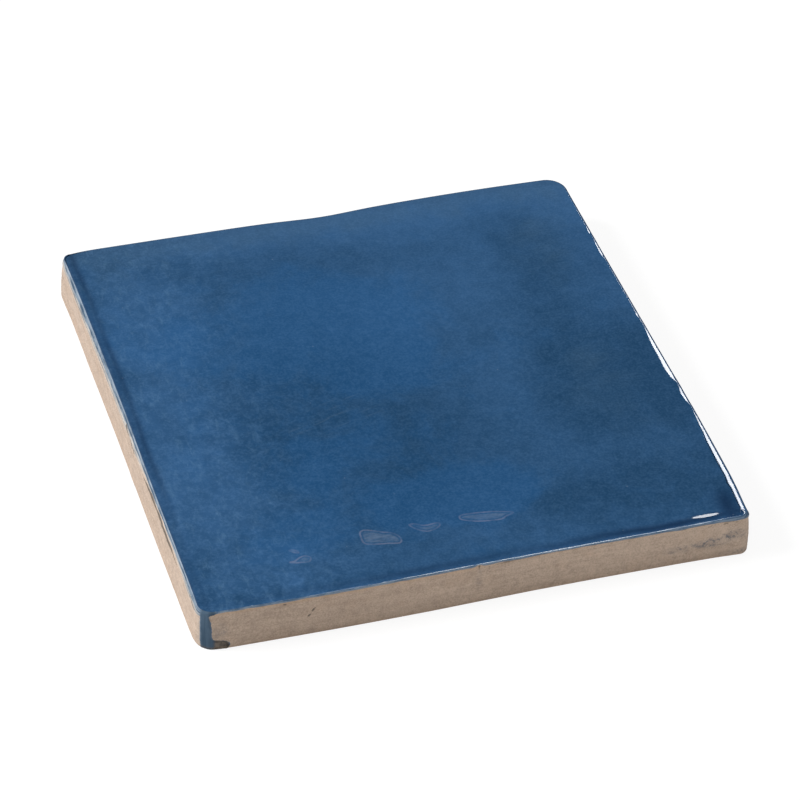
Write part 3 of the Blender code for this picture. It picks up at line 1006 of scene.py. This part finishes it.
def seen_or_mirrored(tree):
    """1 for what the camera sees, also in a mirror or through glass, and 0 for light on other things."""
    seen = tree.add("LightPath", output=CAMERA_RAY)
    return seen + tree.add("LightPath", output=GLOSSY_RAY) + tree.add("LightPath", output=TRANSMISSION_RAY)


paper = Finish(bpy.data.materials.new("white_paper"))
plain = paper.add("BsdfDiffuse", {}, {"Color": FLOOR_PAPER})
shaded = paper.add("BsdfDiffuse", {}, {"Color": FLOOR_SHADED})
glow = paper.add("Emission", {}, {"Color": WHITE, "Strength": FLOOR_GLOW})
lit = paper.add("AddShader", {}, {0: shaded, 1: glow})
sheet = paper.add("MixShader", {}, {0: seen_or_mirrored(paper), 1: plain, 2: lit})
paper.add("OutputMaterial", {}, {"Surface": sheet})
table_top.data.materials.append(paper.owner)

# The studio: even white walls, which are the background, and one broad soft key from the left. The key
# leaves no glint, because its own reflection is hidden.
SKY_LEVEL = 0.48
KEY_ENERGY = 0.97 * math.pi
KEY_ANGLE = math.radians(25)
KEY_FROM = Vector((-0.80, 0.22, 0.58))
scene.world = bpy.data.worlds.new("studio")
walls = Finish(scene.world)
level = SKY_LEVEL + (1 - SKY_LEVEL) * seen_or_mirrored(walls)
background = walls.add("Background", {}, {"Color": WHITE, "Strength": level})
walls.add("OutputWorld", {}, {"Surface": background})

key_light = bpy.data.lights.new("key", "SUN")
key_light.energy = KEY_ENERGY
key_light.angle = KEY_ANGLE
key = bpy.data.objects.new("key", key_light)
scene.collection.objects.link(key)
key.rotation_euler = KEY_FROM.to_track_quat("Z", "Y").to_euler()
key.visible_glossy = False

# The black tent round the shot and the lit panels in it, which only the gloss sees: two small ones at
# the back right that the rim shows as its white lines, and a dim one at the back left
TENT_SIDES = 36
TENT_RADIUS = 2.4
TENT_HEIGHT = 1.7
TENT_SHADE = colour(0.5, 0.7, 1.0)
TENT_GLOW = 0.10
bpy.ops.mesh.primitive_cylinder_add(
    vertices=TENT_SIDES, radius=TENT_RADIUS, depth=TENT_HEIGHT, location=(0.0, 0.0, TENT_HEIGHT / 2)
)
tent = bpy.context.object
tent.name = "black_tent"


def gloss_only(piece, shade, strength):
    """Gives a staged piece a plain glow that is seen in reflections and nowhere else."""
    cloth = Finish(bpy.data.materials.new(piece.name))
    glow = cloth.add("Emission", {}, {"Color": shade, "Strength": strength})
    cloth.add("OutputMaterial", {}, {"Surface": glow})
    piece.data.materials.append(cloth.owner)
    piece.visible_camera = False
    piece.visible_diffuse = False
    piece.visible_shadow = False
    piece.visible_transmission = False
    piece.visible_volume_scatter = False


def hang_panel(name, heading, up, away, width, height, strength, lean=0.0):
    """A lit panel facing the tile, at degrees from the back towards the right and up from the floor, some
    metres away. Its top leans to the right, as the tile sees it, by the degrees of the lean."""
    heading, up = math.radians(heading), math.radians(up)
    towards = Vector((math.sin(heading) * math.cos(up), math.cos(heading) * math.cos(up), math.sin(up)))
    bpy.ops.mesh.primitive_plane_add(size=1.0)
    panel = bpy.context.object
    panel.name = name
    panel.scale = (width, height, 1.0)
    leaning = Quaternion((0.0, 0.0, 1.0), math.radians(lean))
    panel.rotation_euler = (towards.to_track_quat("Z", "Y") @ leaning).to_euler()
    panel.location = towards * away
    gloss_only(panel, WHITE, strength)


gloss_only(tent, TENT_SHADE, TENT_GLOW)
hang_panel("rim_panel", 39.2, 36.5, 1.6, 0.21, 0.54, 14.0, lean=24.0)
hang_panel("top_panel", 36.0, 57.0, 1.6, 0.26, 0.42, 13.0)
hang_panel("left_panel", -42.0, 32.0, 1.8, 1.0, 0.8, 0.9)

# The camera, where the photograph was taken from: in front of the tile, a little to its left, and
# looking down at it with a long lens. Its turn is given by which way its right, its top and its back
# point.
CAMERA_LENS = 159.07
CAMERA_SENSOR = 36.0
CAMERA_NEAREST = 0.01
CAMERA_PLACE = (-0.16737, -0.45928, 0.42252)
CAMERA_RIGHT = Vector((0.95194, -0.30183, 0.05206))
CAMERA_TOP = Vector((0.15918, 0.63274, 0.75782))
CAMERA_BACK = Vector((-0.26167, -0.71311, 0.65038))
camera_data = bpy.data.cameras.new("camera")
camera_data.sensor_width = CAMERA_SENSOR
camera_data.lens = CAMERA_LENS
camera_data.clip_start = CAMERA_NEAREST
camera = bpy.data.objects.new("camera", camera_data)
scene.collection.objects.link(camera)
turned = Matrix((CAMERA_RIGHT, CAMERA_TOP, CAMERA_BACK)).transposed().to_4x4()
camera.matrix_world = Matrix.Translation(CAMERA_PLACE) @ turned
scene.camera = camera
